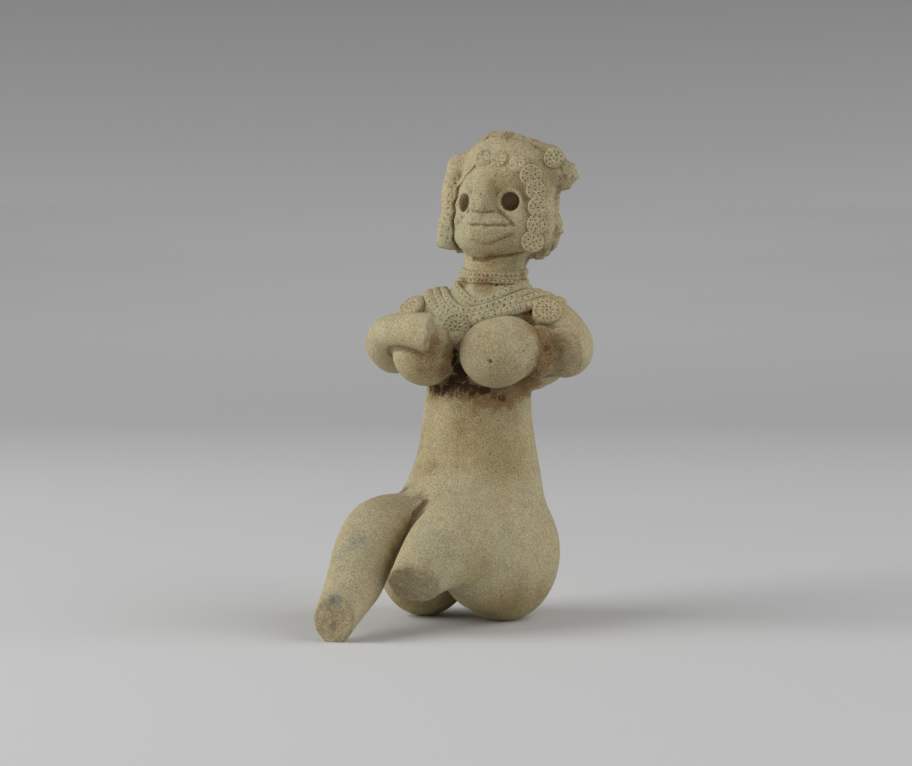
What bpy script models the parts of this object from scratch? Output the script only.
"""A seated terracotta figurine, modelled by hand from one mass of clay.

The body was built up from balls and rolls of clay that were kneaded together. Breasts, features and
jewellery were pressed on afterwards, the eyes were pushed in with a round stick, and the whole was fired
as one piece. The headdress, both hands and both legs are broken, and the breaks are kept as they are.

The figurine faces -Y, its left side is at +X, and it sits on z = 0 with its box centred over the origin.
"""

import math

import bmesh
import bpy
import numpy as np
from mathutils import Euler, Matrix, Vector
from mathutils.bvhtree import BVHTree

# The free forms keep their pose and proportions when the height changes. MM is one millimetre of the
# figurine at the height it was modelled at, and every free form below is written in those millimetres.
FIGURE_HEIGHT = 0.1792
MODELLED_HEIGHT = 179.2
MM = FIGURE_HEIGHT / MODELLED_HEIGHT

# Kneading: how finely the joined clay is resampled, and how often each stage is smoothed
TRUNK_GRAIN = 0.0015
BODY_GRAIN = 0.0010
TRUNK_SMOOTHING = 60
LIMB_SMOOTHING = 14
PRESSED_SMOOTHING = 3
BODY_TRIANGLES = 5600

# Jewellery, each a pellet or strip of clay with its own real size; heights are above the skin
ROSETTE_RADIUS = 0.0038
ROSETTE_HEIGHT = 0.0013
MEDALLION_RADIUS = 0.0056
MEDALLION_HEIGHT = 0.0016
MEDALLION_SUNK = 0.0045
WORN_ROSETTE_HEIGHT = 0.0006
SUNK_ROSETTE_HEIGHT = 0.0008
ROSETTE_SUNK = 0.0022
STRAND_WIDTH = 0.0032
COLLAR_EDGE_WIDTH = 0.0042
STRAND_HEIGHT = 0.0011
STRAND_SUNK = 0.0016
STRAND_STEP = 0.0035
CHOKER_WIDTH = 0.0042
CHOKER_EDGE_WIDTH = 0.0021
CHOKER_HEIGHT = 0.0013

# Eyes, pushed in with a round stick inside a raised ring; place and facing are in the head's frame,
# for the left eye
EYE_RADIUS = 0.0034
EYE_RING = 0.0009
EYE_DEPTH = 0.0070
EYE_AT = (9.9, -7.1, -0.2)
EYE_FACING = (0.5, -0.86, 0.05)

CLAY_COLOUR = (0.42, 0.35, 0.235, 1.0)
CLAY_ROUGHNESS = 0.92
SHARP_ANGLE = 30


def mm(*values):
    """A point or size given in millimetres of the figurine, in metres."""
    return Vector(values) * MM


def clear_scene():
    for obj in list(bpy.data.objects):
        bpy.data.objects.remove(obj)


def collection_named(name):
    made = bpy.data.collections.new(name)
    bpy.context.scene.collection.children.link(made)
    return made


def object_from(bm, name, collection):
    """A mesh object from a bmesh, which is freed."""
    mesh = bpy.data.meshes.new(name)
    bm.to_mesh(mesh)
    bm.free()
    obj = bpy.data.objects.new(name, mesh)
    collection.objects.link(obj)
    return obj


def settled(obj):
    """The object with its modifiers or curve made into plain, welded mesh."""
    bpy.context.view_layer.update()
    graph = bpy.context.evaluated_depsgraph_get()
    mesh = bpy.data.meshes.new_from_object(obj.evaluated_get(graph))
    made = bpy.data.objects.new(obj.name + "_settled", mesh)
    made.matrix_world = obj.matrix_world.copy()
    for collection in obj.users_collection:
        collection.objects.link(made)
    name = obj.name
    bpy.data.objects.remove(obj)
    made.name = name
    bm = bmesh.new()
    bm.from_mesh(mesh)
    bmesh.ops.remove_doubles(bm, verts=bm.verts, dist=1e-6)
    bm.to_mesh(mesh)
    bm.free()
    return made


class Workbench:
    """Where lumps of clay are made before they are joined."""

    def __init__(self, name):
        self.lumps = collection_named(name)

    def ball(self, name, centre, radii, turn=(0, 0, 0), place=None):
        """A ball of clay pressed to three radii, turned by three angles in degrees."""
        bm = bmesh.new()
        bmesh.ops.create_uvsphere(bm, u_segments=40, v_segments=24, radius=1)
        angles = Euler([math.radians(a) for a in turn])
        turned = Matrix.Translation(mm(*centre)) @ angles.to_matrix().to_4x4()
        matrix = turned @ Matrix.Diagonal((*mm(*radii), 1))
        if place is not None:
            matrix = place @ matrix
        bmesh.ops.transform(bm, matrix=matrix, verts=bm.verts)
        return object_from(bm, name, self.lumps)

    def roll(self, name, points, place=None, round_ends=True):
        """A tapered roll of clay through points, each (x, y, z, radius)."""
        curve = bpy.data.curves.new(name, "CURVE")
        curve.dimensions = "3D"
        curve.bevel_depth = MM
        curve.bevel_resolution = 6
        curve.resolution_u = 8
        curve.use_fill_caps = True
        spline = curve.splines.new("BEZIER")
        spline.bezier_points.add(len(points) - 1)
        for bezier, (x, y, z, radius) in zip(spline.bezier_points, points):
            bezier.co = mm(x, y, z)
            bezier.radius = radius
            bezier.handle_left_type = bezier.handle_right_type = "AUTO"
        obj = bpy.data.objects.new(name, curve)
        self.lumps.objects.link(obj)
        made = settled(obj)
        if place is not None:
            made.data.transform(place)
        if round_ends:
            for x, y, z, radius in (points[0], points[-1]):
                self.ball(f"{name}_end", (x, y, z), (radius, radius, radius), place=place)
        return made

    def hull(self, name, points, place):
        """A lump with flat pinched sides, around points."""
        bm = bmesh.new()
        for point in points:
            bm.verts.new(place @ mm(*point))
        bmesh.ops.convex_hull(bm, input=bm.verts)
        return object_from(bm, name, self.lumps)

    def loft(self, name, rings, sides=32):
        """A body of upright rings, each (z, x, y, half width, half depth), smoothed between them."""
        bm = bmesh.new()
        loops = []
        for z, x, y, half_width, half_depth in rings:
            loop = []
            for i in range(sides):
                angle = 2 * math.pi * i / sides
                across, deep = half_width * math.cos(angle), half_depth * math.sin(angle)
                loop.append(bm.verts.new(mm(x + across, y + deep, z)))
            loops.append(loop)
        for low, high in zip(loops, loops[1:]):
            for i in range(sides):
                k = (i + 1) % sides
                bm.faces.new((low[i], low[k], high[k], high[i]))
        bm.faces.new(reversed(loops[0]))
        bm.faces.new(loops[-1])
        obj = object_from(bm, name, self.lumps)
        rounding = obj.modifiers.new("rounding", "SUBSURF")
        rounding.levels = rounding.render_levels = 2
        return settled(obj)

    def kneaded(self, name, collection, grain, smoothing):
        """All lumps so far joined into one skin, resampled evenly and smoothed. The bench is left empty."""
        bm = bmesh.new()
        for lump in list(self.lumps.objects):
            piece = lump.data.copy()
            piece.transform(lump.matrix_world)
            bm.from_mesh(piece)
            bpy.data.objects.remove(lump)
        obj = object_from(bm, name, collection)
        joining = obj.modifiers.new("joining", "REMESH")
        joining.mode = "VOXEL"
        joining.voxel_size = grain
        if smoothing:
            fingers = obj.modifiers.new("fingers", "SMOOTH")
            fingers.factor = 0.5
            fingers.iterations = smoothing
        return settled(obj)


# The torso leans back a little and a little to the figure's left as it rises
TORSO_RINGS = [
    (17, 0, 2, 18, 14),
    (26, 0, 2, 26, 22),
    (36, 0, 1, 28, 28),
    (45, 1.2, 1, 27.4, 28.5),
    (52, 1.6, 4, 25, 25),
    (60, 1, 7.5, 22.7, 21.2),
    (70, -0.1, 9, 21.4, 18.8),
    (84, -0.3, 10, 20.1, 17),
    (95, 0.6, 12, 20.8, 15.8),
    (105, 1.6, 14, 25, 14.5),
    (113, 2, 15.5, 26, 13),
    (119, 2.4, 17.5, 20.3, 12.5),
    (124, 1.9, 19.5, 11.7, 9.3),
    (130, 1.6, 22, 11.7, 8.8),
    (137, 1.6, 23, 12.2, 8.8),
    (144, 2, 23, 13.2, 10),
]

# Rolls of clay, each point (x, y, z, radius), from the body outwards
LEFT_THIGH = [
    (16, 2, 28, 19), (11.2, -16, 31.2, 19), (9.2, -35, 31, 15.9), (7, -47, 26.4, 12.7), (4.4, -57, 19.1, 9.5),
    (3.2, -65, 14, 8.6),
]
RIGHT_LEG = [
    (-16.5, 2, 28, 18), (-17.2, -17, 31, 16.8), (-19.6, -30, 34.4, 13.1), (-19.9, -41, 31.7, 11.9),
    (-17.8, -58, 19.5, 10.6), (-16.2, -71.5, 12.4, 8.7), (-15.7, -80, 7.4, 7.8), (-15.4, -89, 2, 7.8),
]
LEFT_ARM = [(20, 17, 111, 10.2), (29, 15.5, 107.3, 10), (35.5, 12, 100.5, 9.8), (36.3, -3, 99, 8.6)]
RIGHT_ARM = [(-18, 17, 110.8, 10), (-27, 15, 107, 9), (-34.2, 10, 97.4, 9.3)]
RIGHT_FOREARM = [
    (-34.2, 10, 97.4, 9.3), (-32.3, -2, 101, 7.8), (-24, -13, 106.5, 6.5), (-15, -18, 107.6, 6.5),
    (-3, -20, 106.6, 8),
]

# The head has its own frame: x to the figure's left, -Y out of the face, z up, from the neck at eye level
HEAD_AT = (3.0, 20.0, 153.5)
HEAD_TURN = -6.0
HEAD_ROLL = -3.0


def head_frame():
    turned = Euler((0, math.radians(HEAD_ROLL), math.radians(HEAD_TURN))).to_matrix().to_4x4()
    return Matrix.Translation(mm(*HEAD_AT)) @ turned


# In the head's frame: the roll of hair at the right of the face, and the outline of the headdress behind
# the face with its broken edges
RIGHT_SIDE_OF_HAIR = [(-18.4, 3.2, 10, 4.8), (-20, 3.2, 2, 4.8), (-21.8, 3, -8, 5), (-23.8, 2.6, -18, 5.2)]
HEADDRESS_OUTLINE = [
    (0, 26), (7, 25), (13, 22), (19, 20.2), (24.4, 18), (26.4, 14.6), (30.4, 11.6), (30.2, 7),
    (24.4, 3.4), (22.4, -3), (25, -10.5), (21.6, -16.5), (18.5, -22), (11, -21), (0, -14),
    (-12, -18), (-21, -19.4), (-23.5, -8), (-22.5, 4), (-22.4, 12), (-17, 17), (-9, 23),
]
HEADDRESS_THICKNESS = 6.5


def knead_trunk(bench):
    """Torso, hips and left thigh, which the modeller smoothed into one form."""
    bench.loft("torso", TORSO_RINGS)
    bench.ball("lower_belly", (5, -9, 41), (20, 15, 11), turn=(-20, 0, 0))
    bench.ball("left_buttock", (14.2, 1.5, 24.4), (20.3, 25.8, 27.2))
    bench.ball("left_hip", (17, -9, 25), (15.5, 20, 20))
    bench.ball("left_underside", (14, -17, 20.5), (13.5, 18, 16))
    bench.ball("left_hollow", (12.5, -28, 24.5), (11.8, 14, 12))
    bench.roll("left_thigh", LEFT_THIGH)


def knead_right_leg(bench):
    """Right buttock and leg, kept apart from the left by a crease."""
    bench.ball("right_buttock", (-16.6, 0, 22), (16.9, 24, 23.3))
    bench.ball("right_groin", (-8, -16, 36.5), (9, 12.5, 9))
    bench.roll("right_leg", RIGHT_LEG)


def knead_limbs(bench):
    """Arms and head."""
    bench.roll("left_arm", LEFT_ARM)
    bench.ball("left_underarm", (27.5, 12.5, 97), (8.5, 8, 9))
    bench.ball("left_armpit", (22, 12, 93), (6, 7, 8))
    bench.roll("right_arm", RIGHT_ARM)
    bench.roll("right_forearm", RIGHT_FOREARM)
    head = head_frame()
    bench.ball("crown", (1.5, 6, 8), (19.5, 13, 17.6), place=head)
    bench.ball("nape", (0, 7.5, -7), (16.5, 11.5, 17.5), place=head)
    bench.roll("right_side", RIGHT_SIDE_OF_HAIR, place=head, round_ends=False)
    bench.ball("right_boss", (-18, 2, 11), (6, 6, 5.5), place=head)
    bench.ball("left_side", (17.5, 2.5, -3), (6, 5.8, 16), place=head)
    headdress(bench, head)


def headdress(bench, head):
    """The flat headdress behind the head: an outline cut from a slab."""
    curve = bpy.data.curves.new("headdress", "CURVE")
    curve.dimensions = "2D"
    curve.fill_mode = "BOTH"
    curve.extrude = HEADDRESS_THICKNESS / 2 * MM
    spline = curve.splines.new("POLY")
    spline.points.add(len(HEADDRESS_OUTLINE) - 1)
    for point, (x, z) in zip(spline.points, HEADDRESS_OUTLINE):
        point.co = (*mm(x, z, 0), 1)
    spline.use_cyclic_u = True
    obj = bpy.data.objects.new("headdress", curve)
    bench.lumps.objects.link(obj)
    slab = settled(obj)
    slab.data.transform(Matrix.Rotation(math.radians(90), 4, "X"))
    slab.data.transform(head @ Matrix.Translation(mm(0, 6.5, 0)))


def press_on(bench):
    """Breasts and face: forms that keep an edge where they meet the body."""
    bench.ball("left_breast", (15.4, -6.5, 99.8), (14.1, 12.8, 13.2), turn=(-15, 0, 0))
    bench.ball("right_breast", (-12.8, -7.5, 97.6), (12, 12.6, 11.8), turn=(-15, 0, 0))
    head = head_frame()
    bench.ball("face", (-0.6, 2, -3), (18.4, 11.8, 18.6), place=head)
    bench.ball("forehead", (0, 0.8, 6), (15, 10.6, 9.5), place=head)
    bench.ball("chin", (-1.2, -2.6, -13.4), (14.8, 9.2, 8.4), place=head)
    bench.ball("muzzle", (0.4, -7.4, -7.8), (10.4, 6.2, 5), place=head)
    bench.ball("upper_lip", (0, -10, -6.2), (7.8, 5, 2.6), place=head)
    bench.ball("lower_lip", (0, -9, -10.6), (7.4, 4.8, 3.4), place=head)
    bench.hull(
        "nose",
        [
            (-3.6, -8.6, 8.5), (2.4, -8.6, 8.5), (-6.6, -7.4, -3.8), (5.4, -7.4, -3.8),
            (-4.2, -14, -3.6), (2.6, -14, -3.6), (-3.4, -14.2, -0.6), (1.8, -14.2, -0.6),
        ],
        place=head,
    )


# Breaks: a point on each broken face, the direction it faces, how far the cut reaches round that point,
# and how deep it goes
BREAKS = {
    "left_leg": ((4.4, -57, 19.1), (0.1, -0.77, -0.63), 10.8, 20),
    "right_leg": ((-15.2, -80, 7.1), (0.05, -1, -0.1), 12, 30),
    "left_arm": ((38.5, 3, 99), (-0.15, -0.97, -0.1), 12, 20),
    "right_hand": ((-6.3, -20, 104.2), (0.95, 0.3, -0.05), 9.2, 12),
}

# Rosettes on the hair, in the head's frame: centres, and the direction they face
LEFT_ROSETTES = [
    (16.5, -2.4, 9.2), (18.7, -2.4, 3.4), (19.3, -2.6, -3.2), (18.6, -2.4, -9.4), (16.2, -2.2, -15.8),
]
RIGHT_ROSETTES = [(-20.2, -1.6, 5.5), (-20.8, -1.8, -0.8), (-21.6, -2, -7.2), (-22.4, -2, -13.6)]
BROW_ROSETTES = [(-1.8, -5.4, 15.4), (4.5, -5.6, 15.1), (12, -4, 13.5)]
HEADDRESS_ROSETTE = (23.9, 3.3, 14.6)
SIDE_FACING = (0.5, -0.86, 0.05)
BROW_FACING = (0.1, -0.93, 0.35)
HEADDRESS_FACING = (0.05, -1, 0.05)

# Medallions on the chest and shoulders: centre and the direction each faces
MEDALLIONS = {
    "pendant": ((-2.2, -4.2, 107.8), (0.18, -0.9, 0.38)),
    "left_shoulder": ((28.7, 8.6, 112.4), (0.12, -0.62, 0.77)),
    "right_shoulder": ((-27, 10, 114.6), (-0.5, -0.35, 0.8)),
}

# Necklaces of the collar, the innermost first, from the right shoulder round the front to the left shoulder
NECKLACES = [
    [
        (-14, 20, 121.5), (-12.2, 15, 122.8), (-7, 8.5, 120.5), (-2.5, 5.3, 117.8), (1.6, 4.5, 116.5),
        (6, 5, 117.4), (10.6, 7.5, 120), (13.6, 11, 122.3), (15.5, 15, 123), (16.5, 20, 122),
    ],
    [
        (-18.5, 20, 119.3), (-16.2, 14.4, 120.2), (-9.6, 6.2, 116.2), (-5, 3.8, 114), (-1.2, 3.2, 113.3),
        (3.5, 3.3, 114.2), (9.8, 5, 116.2), (14.8, 8.2, 118.8), (18.2, 13, 120.8), (20.5, 20, 119.5),
    ],
    [
        (-20.5, 19, 117.8), (-17.5, 11.5, 118.4), (-11.8, 6.3, 114.4), (-5.8, 3, 111.6), (-1, 2.3, 111.2),
        (5, 3, 112.4), (12.6, 5.4, 115.3), (19, 9.6, 117.8), (23, 14.5, 118.8), (24.5, 20, 117.2),
    ],
    [
        (-23, 18, 116.4), (-19, 9.6, 116.2), (-13.7, 5.8, 112.4), (-6, 2.2, 109.3), (0, 1.6, 109.4),
        (8, 3, 112), (16.4, 6.2, 114.2), (23, 9.6, 115.8), (27.5, 14, 116.2), (28.5, 19, 114.8),
    ],
]
CHOKER_AT = (2, 20, 126.4)
CHOKER_HALF_SIZES = (13.2, 10.4)
CHOKER_EDGE_DROP = 2.5
CHOKER_SIDES = 20


def cutter_from(bm, name, cutters):
    cutter = object_from(bm, name, cutters)
    cutter.hide_render = True
    cutter.display_type = "WIRE"
    return cutter


def boolean(body, operation, other):
    step = body.modifiers.new(other.name, "BOOLEAN")
    step.operation = operation
    step.solver = "EXACT"
    step.object = other


def broken_off(body, names, cutters):
    """The body with its limbs cut at the named breaks."""
    for name in names:
        point, facing, reach, depth = BREAKS[name]
        radius = reach * MM
        bm = bmesh.new()
        bmesh.ops.create_cone(
            bm, cap_ends=True, segments=24, radius1=radius, radius2=radius, depth=depth * MM
        )
        place = facing_matrix(mm(*point), facing) @ Matrix.Translation(mm(0, 0, depth / 2))
        bmesh.ops.transform(bm, matrix=place, verts=bm.verts)
        boolean(body, "DIFFERENCE", cutter_from(bm, f"{name}_break", cutters))
    return settled(body)


def bridged(bm, loops):
    """Faces between each loop of vertices and the next."""
    for first, second in zip(loops, loops[1:]):
        for i in range(len(first)):
            k = (i + 1) % len(first)
            bm.faces.new((first[i], first[k], second[k], second[i]))


def facing_matrix(centre, facing):
    """Placement that turns +Z to a direction and moves the origin to a centre."""
    return Matrix.Translation(centre) @ Vector(facing).to_track_quat("Z", "Y").to_matrix().to_4x4()


def pellet(bench, name, centre, facing, radius, height, sides, sunk):
    """A pressed disc of clay with a bevelled edge, standing out of the body by its height."""
    bm = bmesh.new()
    loops = []
    for ring_radius, z in ((radius, -sunk), (radius, height * 0.5), (radius * 0.88, height)):
        loop = []
        for i in range(sides):
            angle = 2 * math.pi * i / sides
            loop.append(bm.verts.new((ring_radius * math.cos(angle), ring_radius * math.sin(angle), z)))
        loops.append(loop)
    bridged(bm, loops)
    bm.faces.new(reversed(loops[0]))
    bm.faces.new(loops[-1])
    bmesh.ops.transform(bm, matrix=facing_matrix(centre, facing), verts=bm.verts)
    return object_from(bm, name, bench.lumps)


def smooth_path(points, step):
    """Points along a smooth line through the given ones, about one step apart."""
    path = []
    last = len(points) - 1
    for i in range(last):
        before, first, second, after = (points[min(max(i + k, 0), last)] for k in (-1, 0, 1, 2))
        parts = max(1, round((second - first).length / step))
        for k in range(parts):
            t = k / parts
            linear = (second - before) * t
            square = (2 * before - 5 * first + 4 * second - after) * t * t
            cubic = (3 * first - before - 3 * second + after) * t * t * t
            path.append(0.5 * (2 * first + linear + square + cubic))
    path.append(points[-1])
    return path


def strand(bench, name, surface, path, width, height, closed=False):
    """A strip of clay laid along a path on the surface, with a rounded top and its underside sunk in."""
    low, edge = -STRAND_SUNK, height * 0.35
    section = [(-0.5, low), (-0.5, edge), (-0.26, height), (0.26, height), (0.5, edge), (0.5, low)]
    laid = [surface.find_nearest(point)[:2] for point in path]
    last = len(laid) - 1
    bm = bmesh.new()
    loops = []
    for i, (at, normal) in enumerate(laid):
        before = laid[i - 1] if closed else laid[max(i - 1, 0)]
        after = laid[(i + 1) % len(laid)] if closed else laid[min(i + 1, last)]
        along = (after[0] - before[0]).normalized()
        across = along.cross(before[1] + normal * 2 + after[1]).normalized()
        out = across.cross(along).normalized()
        taper = 0.6 if not closed and i in (0, last) else 1
        loops.append([bm.verts.new(at + across * (a * width * taper) + out * h) for a, h in section])
    if closed:
        bridged(bm, loops + loops[:1])
    else:
        bridged(bm, loops)
        bm.faces.new(loops[0])
        bm.faces.new(loops[-1])
    bmesh.ops.recalc_face_normals(bm, faces=bm.faces)
    return object_from(bm, name, bench.lumps)


def ring(bench, name, centre, facing, major, minor, sides=16, section=6):
    """A raised ring of clay."""
    bm = bmesh.new()
    loops = []
    for i in range(sides):
        angle = 2 * math.pi * i / sides
        loop = []
        for k in range(section):
            turn = 2 * math.pi * k / section
            reach, rise = major + minor * math.cos(turn), minor * math.sin(turn)
            loop.append(bm.verts.new((reach * math.cos(angle), reach * math.sin(angle), rise)))
        loops.append(loop)
    bridged(bm, loops + loops[:1])
    bmesh.ops.recalc_face_normals(bm, faces=bm.faces)
    bmesh.ops.transform(bm, matrix=facing_matrix(centre, facing), verts=bm.verts)
    return object_from(bm, name, bench.lumps)


def surface_of(body):
    corners = [v.co for v in body.data.vertices]
    return BVHTree.FromPolygons(corners, [list(p.vertices) for p in body.data.polygons])


def rosettes(bench, surface, head):
    """Round pellets on the hair and the headdress, set onto the surface."""
    right_facing = (-SIDE_FACING[0], SIDE_FACING[1], SIDE_FACING[2])
    rows = (
        ("left_rosette", LEFT_ROSETTES, SIDE_FACING, ROSETTE_HEIGHT),
        ("right_rosette", RIGHT_ROSETTES, right_facing, SUNK_ROSETTE_HEIGHT),
        ("brow_rosette", BROW_ROSETTES, BROW_FACING, WORN_ROSETTE_HEIGHT),
        ("headdress_rosette", [HEADDRESS_ROSETTE], HEADDRESS_FACING, ROSETTE_HEIGHT),
    )
    for name, centres, facing, height in rows:
        turned = head.to_3x3() @ Vector(facing)
        for centre in centres:
            spot = surface.find_nearest(head @ mm(*centre))[0]
            pellet(bench, name, spot, turned, ROSETTE_RADIUS, height, 12, ROSETTE_SUNK)


def necklaces(bench, surface):
    """The strands of the collar and the choker round the neck."""
    for i, points in enumerate(NECKLACES):
        path = smooth_path([mm(*point) for point in points], STRAND_STEP)
        width = COLLAR_EDGE_WIDTH if points is NECKLACES[-1] else STRAND_WIDTH
        strand(bench, f"necklace_{i + 1}", surface, path, width, STRAND_HEIGHT)
    x, y, z = CHOKER_AT
    across, deep = CHOKER_HALF_SIZES
    bands = (("choker", 0, CHOKER_WIDTH), ("choker_edge", CHOKER_EDGE_DROP, CHOKER_EDGE_WIDTH))
    for name, drop, width in bands:
        around = []
        for i in range(CHOKER_SIDES):
            angle = 2 * math.pi * i / CHOKER_SIDES
            around.append(mm(x + across * math.cos(angle), y + deep * math.sin(angle), z - drop))
        strand(bench, name, surface, around, width, CHOKER_HEIGHT, closed=True)


def eye_places(surface, head):
    """Each eye's name, its spot on the face and the direction it faces."""
    for side, name in ((-1, "right_eye"), (1, "left_eye")):
        spot = surface.find_nearest(head @ mm(side * EYE_AT[0], EYE_AT[1], EYE_AT[2]))[0]
        facing = head.to_3x3() @ Vector((side * EYE_FACING[0], EYE_FACING[1], EYE_FACING[2]))
        yield name, spot, facing.normalized()


def adorned(body, bench):
    """The body with rosettes, medallions, necklaces, choker and the rings round the eyes joined on."""
    surface = surface_of(body)
    head = head_frame()
    rosettes(bench, surface, head)
    for name, (centre, facing) in MEDALLIONS.items():
        pellet(bench, name, mm(*centre), facing, MEDALLION_RADIUS, MEDALLION_HEIGHT, 16, MEDALLION_SUNK)
    necklaces(bench, surface)
    for name, spot, facing in eye_places(surface, head):
        ring(bench, f"{name}_ring", spot, facing, EYE_RADIUS + EYE_RING, EYE_RING)
    for lump in bench.lumps.objects:
        boolean(body, "UNION", lump)
    body = settled(body)
    for lump in list(bench.lumps.objects):
        bpy.data.objects.remove(lump)
    return body


def with_eyes(body, cutters):
    """The body with both eyes pushed in."""
    above = 0.004
    tip = EYE_RADIUS * 0.85
    for name, spot, facing in eye_places(surface_of(body), head_frame()):
        bm = bmesh.new()
        bmesh.ops.create_cone(
            bm, cap_ends=True, segments=14, radius1=tip, radius2=EYE_RADIUS, depth=EYE_DEPTH + above
        )
        middle = spot - facing * (EYE_DEPTH - above) / 2
        bmesh.ops.transform(bm, matrix=facing_matrix(middle, facing), verts=bm.verts)
        boolean(body, "DIFFERENCE", cutter_from(bm, name, cutters))
    return settled(body)


def rested(body, cutters):
    """The body flattened where it rests on the floor, with its box centred over the origin."""
    bm = bmesh.new()
    bmesh.ops.create_cube(bm, size=1)
    bmesh.ops.transform(bm, matrix=Matrix.Translation((0, 0, -0.5)), verts=bm.verts)
    boolean(body, "DIFFERENCE", cutter_from(bm, "floor", cutters))
    body = settled(body)
    corners = np.array([v.co for v in body.data.vertices])
    low, high = corners.min(axis=0), corners.max(axis=0)
    middle = (low + high) / 2
    body.data.transform(Matrix.Translation((-middle[0], -middle[1], 0)))
    print("moved by", (-middle[:2] * 1000).round(2), "mm, height", round(high[2] * 1000, 2), "mm")
    return body


def fired(body):
    """The finished body in its clay, shaded smooth up to its sharp edges."""
    clay = bpy.data.materials.new("terracotta")
    clay.use_nodes = True
    surface = clay.node_tree.nodes["Principled BSDF"]
    surface.inputs["Base Color"].default_value = CLAY_COLOUR
    surface.inputs["Roughness"].default_value = CLAY_ROUGHNESS
    clay.diffuse_color = CLAY_COLOUR
    body.data.materials.clear()
    body.data.materials.append(clay)
    body.data.shade_smooth()
    body.data.set_sharp_from_angle(angle=math.radians(SHARP_ANGLE))
    return body


def main():
    clear_scene()
    figure = collection_named("terracotta_figurine")
    cutters = collection_named("cutters")
    bench = Workbench("lumps_of_clay")
    knead_trunk(bench)
    bench.kneaded("trunk", bench.lumps, TRUNK_GRAIN, TRUNK_SMOOTHING)
    knead_right_leg(bench)
    knead_limbs(bench)
    body = bench.kneaded("limbs", bench.lumps, BODY_GRAIN, LIMB_SMOOTHING)
    broken_off(body, ("left_arm", "right_hand"), cutters)
    press_on(bench)
    body = bench.kneaded("figurine", figure, BODY_GRAIN, PRESSED_SMOOTHING)
    thinning = body.modifiers.new("thinning", "DECIMATE")
    thinning.ratio = BODY_TRIANGLES / sum(len(p.vertices) - 2 for p in body.data.polygons)
    body = settled(body)
    body = adorned(body, bench)
    body = with_eyes(body, cutters)
    body = broken_off(body, ("left_leg", "right_leg"), cutters)
    body = rested(body, cutters)
    fired(body)
    bpy.data.collections.remove(bench.lumps)


main()
